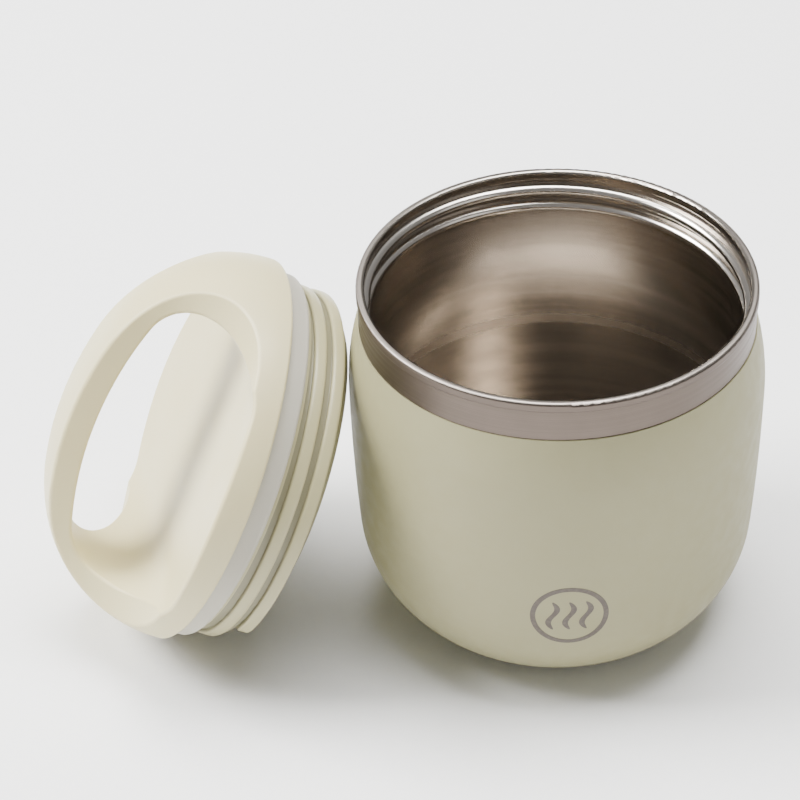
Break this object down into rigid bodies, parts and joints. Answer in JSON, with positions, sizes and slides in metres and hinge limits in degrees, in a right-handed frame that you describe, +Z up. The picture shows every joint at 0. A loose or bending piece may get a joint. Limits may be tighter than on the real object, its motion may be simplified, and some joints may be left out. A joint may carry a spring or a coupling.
{
  "type": "insulated food jar",
  "caption": "Wide vacuum-insulated food jar with a threaded neck; its screw lid, with an arch handle, leans against it.",
  "frame": {"origin": "centre of the ring that the jar stands on", "axes": "+Z up along the jar's axis, +Y away from the camera of the picture, -X towards the lid"},
  "size_m": [0.1865, 0.1063, 0.1],
  "materials": {
    "bare_steel": "brushed round",
    "powder_coat": "fine-textured satin powder coat",
    "liner_steel": "satin",
    "base_steel": "satin",
    "seal_button": "dull",
    "getter_pill": "sintered",
    "clip_strip": "rolled",
    "cover_disc": "fine grain",
    "cap_plastic": "satin",
    "plug_plastic": "satin",
    "foam_core": "closed-cell foam",
    "gasket_silicone": "matt"
  },
  "bodies": {
    "jar": {"outer_shell": "bare_steel", "body_coating": "powder_coat", "inner_liner": "liner_steel", "shell_base": "base_steel", "vacuum_seal": "seal_button", "getter": "getter_pill", "getter_clip": "clip_strip", "base_cover": "cover_disc"},
    "lid": {"lid_cap": "cap_plastic", "lid_plug": "plug_plastic", "lid_foam": "foam_core", "lid_gasket": "gasket_silicone"}
  },
  "joints": [
    {"name": "lid_turn", "type": "hinge", "parent": "jar", "child": "lid", "pos_m": [-0.07149, 0.00337, 0.03963], "axis": [-0.894, -0.0547, 0.4446], "range_deg": [0, 720]}
  ]
}
